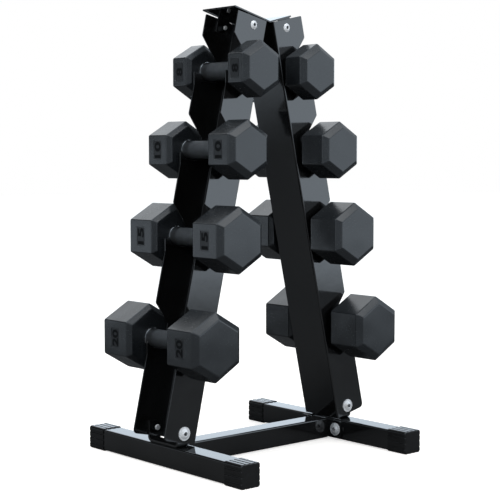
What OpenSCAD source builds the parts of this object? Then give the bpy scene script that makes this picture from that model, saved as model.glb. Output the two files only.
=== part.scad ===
// A-frame dumbbell rack: two notched steel uprights on tube feet, with eight hexagonal dumbbells.
// Millimetres. +Z is up, +X runs from the left foot to the right foot, and the front is at -Y.
// The origin is on the floor under the middle of the rack.

/* [Feet] */
// Width and height of the square steel tubes
tube = 38; // [34:0.5:42]
// Wall thickness of the square tubes
tube_wall = 1.5; // [1:0.1:2.5]
// Outer corner radius of the square tubes
tube_corner = 3; // [2.6:0.1:5]
// Length of a foot tube from front to back
foot_length = 422; // [380:1:480]
// Distance between the centre lines of the two feet
foot_spacing = 390; // [360:1:430]

/* [End caps] */
// How far a rubber cap reaches along its tube
cap_reach = 43; // [25:1:60]
// Thickness of a cap's sleeve
cap_wall = 1.7; // [1.2:0.1:3]
// Thickness of a cap's closed end
cap_end = 2.8; // [1.5:0.1:5]
// Width of a groove in a cap
cap_groove_w = 6.5; // [4:0.5:8]
// Depth of a groove in a cap
cap_groove_depth = 1; // [0.5:0.1:1.1]
// Distance between neighbouring grooves
cap_groove_pitch = 10.5; // [9:0.5:12]

/* [Cross tube] */
// Thickness of the plate welded to each end of the cross tube
end_plate_t = 4; // [3:0.5:6]
// Length of that plate along the foot
end_plate_l = 104; // [98:1:130]
// Height of that plate
end_plate_h = 34; // [30:1:36]
// Distance of its two bolts from the middle of the foot
cross_bolt_reach = 39; // [35:1:40]

/* [Uprights] */
// Length of an upright along its slope
upright_length = 751.5; // [720:0.5:800]
// Outer width of the channel from front to back
upright_width = 89.5; // [84:0.5:94]
// Depth of the channel's flanges
upright_depth = 69.5; // [66:0.5:75]
// Thickness of the folded sheet
sheet = 2.5; // [1.5:0.1:3]
// Outer radius of the folds
fold_radius = 3.2; // [3.1:0.1:6]
// How far the foot of a web stands inside the inner face of its foot tube
web_overhang = 2.5; // [0:0.5:4]
// Gap between the two uprights at the top
top_gap = 14; // [8:1:22]
// Gap between the top of a foot and the upright above it
foot_gap = 2; // [0.5:0.1:6]
// Corner radius at the outer foot of a flange
toe_radius = 8; // [2:0.5:12]
// Corner radius at the crests between the cradles
crest_radius = 5; // [2:0.5:8]

/* [Cradles] */
// Running clearance between a handle and its seat
seat_clearance = 0.3; // [0.2:0.05:0.6]
// How much wider a seat is than its handle
seat_play = 5.5; // [0:0.5:7]
// Radius of a seat's corner on the web side
seat_corner = 5; // [2:0.5:8]
// Angle of the cradle's mouth from the upright's length
mouth_angle = 47; // [42:1:52]
// How far a lip's tip lies below the middle of its handle
lip_drop = 9; // [7:0.5:10]
// Least width of a lip's flat top
lip_top = 1.5; // [1.2:0.1:3]
// How far a lip's tip flares out past the flange
lip_flare = 5; // [2:0.5:7]
// Length of the flare below the tip
lip_flare_length = 22; // [15:1:30]

/* [Top plate] */
// Thickness of the bent plate that joins the uprights
plate_t = 3; // [2:0.1:5]
// Angle by which the wings rise above the tops of the flanges
wing_rise = 2.0; // [1:0.1:4]
// Length of the left wing from the bend
left_wing = 85; // [76:0.5:92]
// Length of the right wing from the bend
right_wing = 52; // [52:0.5:92]
// Distance of a tab from the web of its upright
tab_start = 15.5; // [11.5:0.5:18.5]
// Length of a tab along its wing
tab_length = 28; // [25:0.5:36]
// Height of a tab
tab_height = 28; // [26:0.5:32]
// Thickness of a tab
tab_t = 3; // [2:0.1:4]

/* [Foot brackets] */
// Thickness of the U-shaped brackets on the feet
bracket_t = 4; // [3:0.5:6]
// Width of a bracket across the foot
bracket_w = 24; // [22:1:30]
// How far a bracket stands outside the middle of its foot
bracket_out = 3; // [0:0.5:5]
// Outer radius of a bracket's folds
bracket_radius = 8; // [6.5:0.5:10]
// Height of a bracket's ears above the foot
bracket_h = 36; // [34:1:44]
// Sideways clearance between a bracket or tab and the channel
ear_clearance = 0.2; // [0.1:0.05:0.5]

/* [Fasteners] */
// Thread diameter of the bolts at the feet
big_bolt_d = 10; // [8:0.5:11]
// Height of the lower upright bolts above the foot
foot_bolt_rise = 24; // [21:0.5:25]
// Diameter of the washers under those bolts
washer_d = 24; // [21:0.5:25]
// Thickness of those washers
washer_t = 2; // [1:0.1:2.5]
// Thread diameter of the bolts at the top
small_bolt_d = 8; // [6:0.5:9]
// Distance of the top bolts below the end of an upright
top_bolt_drop = 15; // [13:0.5:17]
// Distance of the top bolts from the outside of the web
top_bolt_out = 29.5; // [27.5:0.5:32.5]
// Clearance of a bolt in its hole, on the radius
bolt_clearance = 0.3; // [0.1:0.05:0.5]

/* [Dumbbells] */
// Diameter of a handle
handle_d = 32; // [28:0.5:33]
// Distance between the two heads of a dumbbell
grip = 102; // [100:0.5:112]
// How far a handle reaches into each head
handle_grip_in = 30; // [15:1:34]
// Diameter of the collar where a handle meets a head
collar_d = 36; // [34:0.5:40]
// Width of that collar
collar_w = 3; // [1.5:0.5:3.5]
// Thickness of the rubber around the iron core
rubber = 5; // [3:0.1:7]
// Bevel on the inner edge of a head, measured towards the axis
inner_bevel_in = 8; // [4:0.5:10]
// Bevel on the inner edge of a head, measured along the axis
inner_bevel_along = 7; // [4:0.5:9]
// Bevel on the outer edge of a head, measured towards the axis
outer_bevel_in = 10.5; // [5:0.5:13]
// Bevel on the outer edge of a head, measured along the axis
outer_bevel_along = 9; // [5:0.5:12]
// Depth of the recessed label panel
label_depth = 0.8; // [0.4:0.1:1.2]
// Width of the label panel along the axis
label_w = 22; // [14:0.5:24]
// Height of the label panel
label_h = 34; // [20:0.5:38]

/* [Top tier] */
// Distance of the top seats below the ends of the uprights
top_drop = 98.5; // [92:0.5:110]
// Distance of the top mouths from the web
top_in = 20.5; // [16:0.5:36]
// Where a top handle lies in its seat, from the web side (0) to the lip side (1)
top_place = 0.5; // [0:0.05:1]
// Height of the top mouths, from lip to crest
top_mouth = 68; // [64:0.5:72]
// Width across flats of a top head
top_across = 86; // [76:0.5:94]
// Length of a top head
top_head = 52.5; // [44:0.5:70]

/* [Upper tier] */
// Distance of the upper seats below the top seats
upper_drop = 145; // [136:0.5:150]
// Distance of the upper mouths from the web
upper_in = 32.5; // [16:0.5:36]
// Where an upper handle lies in its seat, from the web side (0) to the lip side (1)
upper_place = 0.2; // [0:0.05:1]
// Height of the upper mouths, from lip to crest
upper_mouth = 70; // [64:0.5:72]
// Width across flats of an upper head
upper_across = 89.5; // [76:0.5:96]
// Length of an upper head
upper_head = 67.5; // [50:0.5:80]

/* [Lower tier] */
// Distance of the lower seats below the upper seats
lower_drop = 155; // [148:0.5:166]
// Distance of the lower mouths from the web
lower_in = 25; // [16:0.5:36]
// Where a lower handle lies in its seat, from the web side (0) to the lip side (1)
lower_place = 0.5; // [0:0.05:1]
// Height of the lower mouths, from lip to crest
lower_mouth = 64.5; // [64:0.5:72]
// Width across flats of a lower head
lower_across = 100.5; // [84:0.5:108]
// Length of a lower head
lower_head = 78; // [60:0.5:90]

/* [Bottom tier] */
// Distance of the bottom seats below the lower seats
bottom_drop = 184; // [168:0.5:190]
// Distance of the bottom mouths from the web
bottom_in = 36; // [16:0.5:36]
// Where a bottom handle lies in its seat, from the web side (0) to the lip side (1)
bottom_place = 1; // [0:0.05:1]
// Height of the bottom mouths, from lip to crest
bottom_mouth = 70; // [64:0.5:72]
// Width across flats of a bottom head
bottom_across = 104; // [86:0.5:114]
// Length of a bottom head
bottom_head = 81; // [60:0.5:95]

/* [Hidden] */
$fn = 48;
TIERS = ["bottom", "lower", "upper", "top"];
LEVELS = [0 : 3];
MOUTH_IN = [bottom_in, lower_in, upper_in, top_in];
MOUTH = [bottom_mouth, lower_mouth, upper_mouth, top_mouth];
PLACE = [bottom_place, lower_place, upper_place, top_place];
HEAD_ACROSS = [bottom_across, lower_across, upper_across, top_across];
HEAD_LENGTH = [bottom_head, lower_head, upper_head, top_head];
top_up = upright_length - top_drop;
upper_up = top_up - upper_drop;
lower_up = upper_up - lower_drop;
SEAT_UP = [lower_up - bottom_drop, lower_up, upper_up, top_up];
seat_r = handle_d / 2 + seat_clearance;
SEAT_OUT = [for (level = LEVELS) MOUTH_IN[level] + seat_r + seat_play * PLACE[level]];
SIDES = ["left", "right"];

RACK_NODES = [
    "left_upright", "right_upright", "left_foot", "right_foot", "cross_tube",
    "left_end_plate", "right_end_plate", "left_foot_bracket", "right_foot_bracket", "top_plate",
    "front_left_cap", "rear_left_cap", "front_right_cap", "rear_right_cap",
    "upright_bolts", "upright_washers", "upright_nuts", "top_bolts", "top_nuts",
    "cross_bolts", "cross_washers", "cross_nuts"
];
DUMBBELL_PIECES = ["handle", "front_head", "rear_head", "cores"];

PAINT = [0.10, 0.10, 0.11];
ZINC = [0.82, 0.83, 0.85];
RUBBER = [0.28, 0.29, 0.30];
CAP_RUBBER = [0.13, 0.13, 0.13];
STEEL = [0.34, 0.35, 0.36];
IRON = [0.42, 0.40, 0.38];

eps = 0.01;                 // overlap that keeps cuts clean
bolt_head_ratio = 1.9;      // diameter of a domed head over its thread
bolt_dome_ratio = 0.42;     // height of a domed head over its thread
socket_ratio = 0.7;         // socket width over the thread
nut_ratio = 1.7;            // nut width across flats over the thread
nut_height_ratio = 0.8;     // nut height over the thread
arc_steps = 6;              // straight pieces in a rounded outline corner

foot_x = foot_spacing / 2;
foot_top = cap_wall + tube;
foot_mid = cap_wall + tube / 2;
foot_side = foot_x - tube / 2;
web_foot_x = foot_side - web_overhang;
bracket_x = foot_x + bracket_out;
upright_foot_z = foot_top + foot_gap;
lean = asin((web_foot_x - top_gap / 2) / upright_length);
channel_inner = upright_width / 2 - sheet;
ear_outer = channel_inner - ear_clearance;
big_bolt_grip = bracket_t + ear_clearance + sheet;
small_bolt_grip = tab_t + ear_clearance + sheet;
cross_bolt_grip = end_plate_t + tube_wall;
foot_bolt_z = foot_top + foot_bolt_rise;
wing_angle = lean + wing_rise;
bend_z = upright_foot_z + upright_length * cos(lean) - top_gap / 2 * tan(wing_angle) + seat_clearance;
web_on_wing = top_gap / 2 / cos(wing_angle);

// ---- Helpers ----

// Carries its children from the frame of an upright (X out from the web, Z along its slope) to the rack.
module on_upright() {
    translate([web_foot_x, 0, upright_foot_z]) rotate([0, -lean, 0]) children();
}

// Carries its children from the frame of a wing (X along its underside, from the bend) to the rack.
module on_wing() {
    translate([0, 0, bend_z]) rotate([0, -wing_angle, 0]) children();
}

// Mirrors a right-hand piece to the left when side is "left".
module on_side(side) {
    mirror([side == "left" ? 1 : 0, 0, 0]) children();
}

// Mirrors a front piece to the back when end is "rear".
module at_end(end) {
    mirror([0, end == "rear" ? 1 : 0, 0]) children();
}

// A flat shape that is drawn in X and Z and stands across Y, centred.
module across_y(width) {
    rotate([90, 0, 0]) linear_extrude(width, center = true) children();
}

module rounded_square(width, height, r) {
    square([width, height - 2 * r], center = true);
    square([width - 2 * r, height], center = true);
    for (x = [-1, 1], y = [-1, 1])
        translate([x * (width / 2 - r), y * (height / 2 - r)]) circle(r);
}

// A strip from start along X whose two corners at the start are round.
module half_rounded(start, reach, half_width, r) {
    translate([start + r, -half_width]) square([reach - r, 2 * half_width]);
    translate([start, r - half_width]) square([2 * r, 2 * (half_width - r)]);
    for (y = [-1, 1]) translate([start + r, y * (half_width - r)]) circle(r);
}

function unit(v) = v / norm(v);

// The arc of radius r that rounds corner p between its neighbours a and b.
function corner_arc(a, p, b, r) =
    let (
        u = unit(a - p),
        v = unit(b - p),
        half = acos(u * v) / 2,
        middle = p + unit(u + v) * r / sin(half),
        from_v = p + u * r / tan(half) - middle,
        to_v = p + v * r / tan(half) - middle,
        from_a = atan2(from_v.y, from_v.x),
        turn = atan2(to_v.y, to_v.x) - from_a,
        sweep = turn > 180 ? turn - 360 : turn < -180 ? turn + 360 : turn
    )
    [for (i = [0 : arc_steps]) middle + r * [cos(from_a + sweep * i / arc_steps), sin(from_a + sweep * i / arc_steps)]];

// A closed outline from [x, y, radius] corners.
function rounded_outline(corners) =
    let (n = len(corners), p = [for (c = corners) [c.x, c.y]])
    [
        for (i = [0 : n - 1])
            each corners[i].z == 0 ? [p[i]] : corner_arc(p[(i + n - 1) % n], p[i], p[(i + 1) % n], corners[i].z)
    ];

// ---- Fasteners ----

// A domed socket bolt: its head stands on the XY plane and its thread points down.
module domed_bolt(d, length) {
    head_r = d * bolt_head_ratio / 2;
    head_h = d * bolt_dome_ratio;
    dome_r = (head_r * head_r + head_h * head_h) / (2 * head_h);
    difference() {
        intersection() {
            translate([0, 0, head_h - dome_r]) sphere(dome_r);
            cylinder(h = head_h, r = head_r);
        }
        translate([0, 0, head_h * 0.3]) cylinder(h = head_h, r = d * socket_ratio / sqrt(3), $fn = 6);
    }
    translate([0, 0, -length]) cylinder(h = length + eps, d = d);
}

module washer() {
    difference() {
        cylinder(h = washer_t, d = washer_d);
        translate([0, 0, -1]) cylinder(h = washer_t + 2, d = big_bolt_d + 2 * bolt_clearance);
    }
}

// A hexagon nut under the XY plane.
module nut(d) {
    difference() {
        translate([0, 0, -d * nut_height_ratio])
            cylinder(h = d * nut_height_ratio, r = d * nut_ratio / sqrt(3), $fn = 6);
        translate([0, 0, -2 * d]) cylinder(h = 3 * d, d = d);
    }
}

// Places its children at the lower bolts of both uprights, with +Z out of the flange's outer face.
module at_upright_bolts() {
    for (x = [-1, 1], y = [-1, 1])
        translate([x * bracket_x, y * upright_width / 2, foot_bolt_z]) rotate([-90 * y, 0, 0]) children();
}

// Places its children at the top bolts of both uprights, with +Z out of the flange's outer face.
module at_top_bolts() {
    for (side = SIDES, y = [-1, 1])
        on_side(side) on_upright()
            translate([top_bolt_out, y * upright_width / 2, upright_length - top_bolt_drop])
                rotate([-90 * y, 0, 0]) children();
}

// Places its children at the bolts of the end plates, with +Z towards the middle of the rack.
module at_cross_bolts() {
    for (side = SIDES, y = [-1, 1])
        on_side(side)
            translate([foot_side - end_plate_t, y * cross_bolt_reach, foot_mid]) rotate([0, -90, 0]) children();
}

module bolt_hole(d) {
    translate([0, 0, -12]) cylinder(h = 24, d = d + 2 * bolt_clearance);
}

// ---- Feet ----

module square_tube(length) {
    linear_extrude(length, center = true) difference() {
        rounded_square(tube, tube, tube_corner);
        rounded_square(tube - 2 * tube_wall, tube - 2 * tube_wall, tube_corner - tube_wall);
    }
}

module foot(side) {
    color(PAINT) difference() {
        on_side(side) translate([foot_x, 0, foot_mid]) rotate([90, 0, 0]) square_tube(foot_length);
        at_cross_bolts() bolt_hole(big_bolt_d);
    }
}

module cross_tube() {
    color(PAINT) translate([0, 0, foot_mid]) rotate([0, 90, 0]) square_tube(2 * (foot_side - end_plate_t));
}

module end_plate(side) {
    color(PAINT) difference() {
        on_side(side)
            translate([foot_side - end_plate_t, -end_plate_l / 2, foot_mid - end_plate_h / 2])
                cube([end_plate_t, end_plate_l, end_plate_h]);
        at_cross_bolts() bolt_hole(big_bolt_d);
    }
}

// A rubber sleeve with a closed end and shallow grooves along every face.
module cap(side, end) {
    outer = tube + 2 * cap_wall;
    groove_r = (cap_groove_w * cap_groove_w / 4 + cap_groove_depth * cap_groove_depth) / (2 * cap_groove_depth);
    color(CAP_RUBBER) on_side(side) at_end(end)
        translate([foot_x, -foot_length / 2 - cap_end, foot_mid]) rotate([-90, 0, 0]) difference() {
            linear_extrude(cap_reach) rounded_square(outer, outer, tube_corner + cap_wall);
            translate([0, 0, cap_end]) linear_extrude(cap_reach) rounded_square(tube, tube, tube_corner);
            for (turn = [0 : 90 : 270], line = [-1 : 1])
                rotate([0, 0, turn])
                    translate([line * cap_groove_pitch, outer / 2 + groove_r - cap_groove_depth, -1])
                        cylinder(h = cap_reach + 2, r = groove_r);
        }
}

// A U-shaped bracket that stands on a foot inside the bottom of an upright.
module foot_bracket(side) {
    ear_top = bracket_h;
    color(PAINT) difference() {
        on_side(side) translate([bracket_x, 0, foot_top]) rotate([90, 0, 90])
            linear_extrude(bracket_w, center = true) rotate(90) difference() {
                half_rounded(0, ear_top, ear_outer, bracket_radius);
                half_rounded(bracket_t, ear_top, ear_outer - bracket_t, bracket_radius - bracket_t);
            }
        at_upright_bolts() bolt_hole(big_bolt_d);
    }
}

// ---- Uprights ----

// Middle of a handle, across the flange, when it lies against the lip side of its seat.
function lip_side(level) = MOUTH_IN[level] + seat_r + seat_play;

// Foot of the sloping side of a seat, and the place where that slope meets the lip's top.
function ramp_foot(level) =
    [lip_side(level) + seat_r * cos(mouth_angle), SEAT_UP[level] - seat_r * sin(mouth_angle)];
function ramp_top(level) =
    ramp_foot(level).x + (seat_r * sin(mouth_angle) - lip_drop) * tan(mouth_angle);

// How far the tip of a lip reaches out from the web.
function lip_reach(level) = max(upright_depth + lip_flare, ramp_top(level) + lip_top);

// Corners of one cradle in the flange's outline, from its lip up to the crest above it.
function cradle_corners(level) =
    let (
        up = SEAT_UP[level],
        inner = MOUTH_IN[level],
        tip = up - lip_drop,
        crest = tip + MOUTH[level]
    )
    [
        [upright_depth, tip - lip_flare_length, crest_radius],
        [lip_reach(level), tip, 1],
        [ramp_top(level), tip, 0],
        [ramp_foot(level).x, ramp_foot(level).y, 0],
        [lip_side(level), up - seat_r, 0],
        [inner, up - seat_r, seat_corner],
        [inner, crest - (upright_depth - inner) / tan(mouth_angle), crest_radius],
        [upright_depth, crest, crest_radius]
    ];

function flange_corners() = concat(
    [[0, 0, 0], [upright_depth, 0, toe_radius]],
    [for (level = LEVELS) each cradle_corners(level)],
    [[upright_depth, upright_length, 2], [0, upright_length, 0]]
);

module upright(side) {
    reach = max([for (level = LEVELS) lip_reach(level)]);
    color(PAINT) difference() {
        on_side(side) on_upright() difference() {
            intersection() {
                linear_extrude(upright_length) difference() {
                    half_rounded(0, reach, upright_width / 2, fold_radius);
                    half_rounded(sheet, reach, channel_inner, fold_radius - sheet);
                }
                across_y(upright_width + 2) polygon(rounded_outline(flange_corners()));
            }
            for (level = LEVELS)
                translate([lip_side(level), 0, SEAT_UP[level]]) rotate([90, 0, 0])
                    cylinder(h = upright_width + 2, r = seat_r, center = true);
        }
        at_upright_bolts() bolt_hole(big_bolt_d);
        at_top_bolts() bolt_hole(small_bolt_d);
    }
}

// The bent plate over both uprights, with a tab inside each flange.
module top_plate() {
    color(PAINT) difference() {
        union() {
            across_y(upright_width) polygon(plate_section());
            for (side = ["left", "right"])
                on_side(side) on_wing() tabs();
        }
        at_top_bolts() bolt_hole(small_bolt_d);
    }
}

// The corners of the bent plate seen from the front.
function plate_section() = [
    wing_corner(-1, left_wing, 0),
    [0, bend_z],
    wing_corner(1, right_wing, 0),
    wing_corner(1, right_wing, plate_t),
    [0, bend_z + plate_t / cos(wing_angle)],
    wing_corner(-1, left_wing, plate_t)
];

// A point of a wing: out along its underside and up from it. The sign is -1 on the left and 1 on the right.
function wing_corner(sign, out, up) = [
    sign * (out * cos(wing_angle) - up * sin(wing_angle)),
    bend_z + out * sin(wing_angle) + up * cos(wing_angle)
];

// The two tabs of a wing, each inside a flange and sunk half the plate's thickness into the wing.
module tabs() {
    for (y = [-1, 1])
        translate([web_on_wing + tab_start, y * (ear_outer - tab_t / 2) - tab_t / 2, -tab_height])
            cube([tab_length, tab_t, tab_height + plate_t / 2]);
}

module upright_bolts() {
    color(ZINC) at_upright_bolts()
        translate([0, 0, washer_t]) domed_bolt(big_bolt_d, washer_t + big_bolt_grip + big_bolt_d);
}

module upright_washers() {
    color(ZINC) at_upright_bolts() washer();
}

module upright_nuts() {
    color(ZINC) at_upright_bolts() translate([0, 0, -big_bolt_grip]) nut(big_bolt_d);
}

module top_bolts() {
    color(ZINC) at_top_bolts() domed_bolt(small_bolt_d, small_bolt_grip + small_bolt_d);
}

module top_nuts() {
    color(ZINC) at_top_bolts() translate([0, 0, -small_bolt_grip]) nut(small_bolt_d);
}

module cross_bolts() {
    color(ZINC) at_cross_bolts()
        translate([0, 0, washer_t]) domed_bolt(big_bolt_d, washer_t + cross_bolt_grip + big_bolt_d);
}

module cross_washers() {
    color(ZINC) at_cross_bolts() washer();
}

module cross_nuts() {
    color(ZINC) at_cross_bolts() translate([0, 0, -cross_bolt_grip]) nut(big_bolt_d);
}

// ---- Dumbbells ----

// Carries its children to the seat of a tier: X points outwards and Y along the handle.
module on_seat(side, level) {
    x = web_foot_x + SEAT_OUT[level] * cos(lean) - SEAT_UP[level] * sin(lean);
    z = upright_foot_z + SEAT_OUT[level] * sin(lean) + SEAT_UP[level] * cos(lean);
    on_side(side) translate([x, 0, z]) children();
}

// One ring of a head: a hexagon across X and Z with its flats at the sides, y along the axis.
function hex_ring(half, y) = [for (i = [0 : 5]) [half / cos(30) * sin(60 * i), y, half / cos(30) * cos(60 * i)]];

// A bevelled hexagonal block along +Y with its flats at the sides and a corner on top.
module hex_block(across, length, inset) {
    half = across / 2 - inset;
    rings = [
        hex_ring(half - inner_bevel_in, inset),
        hex_ring(half, inset + inner_bevel_along),
        hex_ring(half, length - inset - outer_bevel_along),
        hex_ring(half - outer_bevel_in, length - inset)
    ];
    sides = [
        for (ring = [0 : 2], i = [0 : 5])
            [6 * ring + i, 6 * ring + 6 + i, 6 * ring + 6 + (i + 1) % 6, 6 * ring + (i + 1) % 6]
    ];
    polyhedron(
        points = [for (ring = rings) each ring],
        faces = concat([[0, 1, 2, 3, 4, 5]], sides, [[23, 22, 21, 20, 19, 18]])
    );
}

// Puts its children, drawn along +Y from the inner face of a head, at the front or rear head.
module at_head(side, level, end) {
    on_seat(side, level) mirror([0, end == "front" ? 1 : 0, 0]) translate([0, grip / 2, 0]) children();
}

module handle_bore() {
    rotate([90, 0, 0]) cylinder(h = 2 * handle_grip_in, d = handle_d, center = true);
}

module head(side, level, end) {
    across = HEAD_ACROSS[level];
    length = HEAD_LENGTH[level];
    flat_middle = (inner_bevel_along + length - outer_bevel_along) / 2;
    color(RUBBER) at_head(side, level, end) difference() {
        hex_block(across, length, 0);
        hex_block(across, length, rubber);
        handle_bore();
        translate([across / 2 - label_depth, flat_middle - label_w / 2, -label_h / 2])
            cube([label_depth + 1, label_w, label_h]);
    }
}

module cores(side, level) {
    color(IRON) for (end = ["front", "rear"]) at_head(side, level, end) difference() {
        hex_block(HEAD_ACROSS[level], HEAD_LENGTH[level], rubber);
        handle_bore();
    }
}

module handle(side, level) {
    color(STEEL) on_seat(side, level) {
        rotate([90, 0, 0]) cylinder(h = grip + 2 * handle_grip_in, d = handle_d, center = true);
        for (y = [-1, 1])
            translate([0, y * (grip - collar_w) / 2, 0]) rotate([90, 0, 0])
                cylinder(h = collar_w, d = collar_d, center = true);
    }
}

// ---- Assembly ----

upright("left");  // left_upright
upright("right");  // right_upright
foot("left");  // left_foot
foot("right");  // right_foot
cross_tube();
end_plate("left");  // left_end_plate
end_plate("right");  // right_end_plate
foot_bracket("left");  // left_foot_bracket
foot_bracket("right");  // right_foot_bracket
top_plate();
cap("left", "front");  // front_left_cap
cap("left", "rear");  // rear_left_cap
cap("right", "front");  // front_right_cap
cap("right", "rear");  // rear_right_cap
upright_bolts();
upright_washers();
upright_nuts();
top_bolts();
top_nuts();
cross_bolts();
cross_washers();
cross_nuts();

for (side = SIDES, level = LEVELS) {
    name = str(side, "_", TIERS[level], "_");
    handle(side, level);
    head(side, level, "front");
    head(side, level, "rear");
    cores(side, level);
}
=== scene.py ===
"""Dresses an A-frame dumbbell rack: glossy steel uprights, tube feet, rubber caps and hexagonal dumbbells.

Lengths are in metres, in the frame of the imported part: +Z is up, +X runs from the left foot to the
right foot, and the front is at -Y. Every piece keeps its object at the origin, so object coordinates
in a material are places on the rack.
"""

import logging
import math
import random
from collections.abc import Callable, Sequence
from dataclasses import dataclass, field
from enum import Enum

import bmesh
import bpy
from mathutils import Matrix, Vector


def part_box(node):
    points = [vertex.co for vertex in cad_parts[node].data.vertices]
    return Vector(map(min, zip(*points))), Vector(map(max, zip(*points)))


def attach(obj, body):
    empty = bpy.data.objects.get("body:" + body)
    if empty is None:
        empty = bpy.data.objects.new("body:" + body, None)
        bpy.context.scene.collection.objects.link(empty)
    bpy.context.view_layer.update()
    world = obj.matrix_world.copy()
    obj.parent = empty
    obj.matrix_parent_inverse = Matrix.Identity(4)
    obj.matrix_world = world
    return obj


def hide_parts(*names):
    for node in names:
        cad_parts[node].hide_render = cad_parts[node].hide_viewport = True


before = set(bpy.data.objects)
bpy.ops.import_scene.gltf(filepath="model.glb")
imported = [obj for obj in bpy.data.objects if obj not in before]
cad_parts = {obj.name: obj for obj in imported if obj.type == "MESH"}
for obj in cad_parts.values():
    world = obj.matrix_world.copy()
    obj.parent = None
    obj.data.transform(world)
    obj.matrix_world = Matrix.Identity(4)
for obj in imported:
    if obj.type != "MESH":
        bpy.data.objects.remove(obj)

LOG = logging.getLogger("dumbbell_rack")
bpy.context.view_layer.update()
RACK_BODY = "rack"

Point2 = tuple[float, float]
Placer = Callable[[float, float, float], Vector]


class Side(Enum):
    """The two sides of the rack, with the sign of X on that side."""

    LEFT = -1
    RIGHT = 1

    @property
    def word(self) -> str:
        """The side's name as the nodes spell it."""
        return self.name.lower()


class End(Enum):
    """Front and rear, with the sign of Y at that end."""

    FRONT = -1
    REAR = 1

    @property
    def word(self) -> str:
        """The end's name as the nodes spell it."""
        return self.name.lower()


class Tier(Enum):
    """The four rows of dumbbells, with the number moulded on their heads."""

    TOP = "8"
    UPPER = "10"
    LOWER = "15"
    BOTTOM = "20"

    @property
    def word(self) -> str:
        """The tier's name as the nodes spell it."""
        return self.name.lower()


# ---------------------------------------------------------------- shader values


class Signal:
    """A value in a node tree that takes part in Python arithmetic by adding Math nodes."""

    def __init__(self, shader: "Shader", socket: bpy.types.NodeSocket) -> None:
        """Wraps a socket.

        Args:
            shader: The tree that the socket belongs to.
            socket: The output that carries the value.
        """
        self.shader = shader
        self.socket = socket

    def _math(self, operation: str, first: "Signal | float", second: "Signal | float") -> "Signal":
        """Adds one Math node.

        Args:
            operation: The node's operation.
            first: Its first operand.
            second: Its second operand.

        Returns:
            The result.
        """
        node = self.shader.node("ShaderNodeMath", {"operation": operation}, {0: first, 1: second})
        return Signal(self.shader, node.outputs[0])

    def __add__(self, other: "Signal | float") -> "Signal":
        """The sum."""
        return self._math("ADD", self, other)

    def __radd__(self, other: float) -> "Signal":
        """The sum, from the right."""
        return self._math("ADD", other, self)

    def __sub__(self, other: "Signal | float") -> "Signal":
        """The difference."""
        return self._math("SUBTRACT", self, other)

    def __rsub__(self, other: float) -> "Signal":
        """The difference, from the right."""
        return self._math("SUBTRACT", other, self)

    def __mul__(self, other: "Signal | float") -> "Signal":
        """The product."""
        return self._math("MULTIPLY", self, other)

    def __rmul__(self, other: float) -> "Signal":
        """The product, from the right."""
        return self._math("MULTIPLY", other, self)

    def __abs__(self) -> "Signal":
        """The size without the sign."""
        return self._math("ABSOLUTE", self, 0.0)

    def wave(self) -> "Signal":
        """The sine, with the value in radians."""
        return self._math("SINE", self, 0.0)

    def at_most(self, other: "Signal | float") -> "Signal":
        """The smaller of the two."""
        return self._math("MINIMUM", self, other)

    def fade(self, low: float, high: float) -> "Signal":
        """A smooth step from 0 at low to 1 at high.

        Args:
            low: Where the step starts.
            high: Where it ends.

        Returns:
            The step.
        """
        node = self.shader.node(
            "ShaderNodeMapRange",
            {"interpolation_type": "SMOOTHSTEP"},
            {"Value": self, "From Min": low, "From Max": high},
        )
        return Signal(self.shader, node.outputs["Result"])


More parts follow.
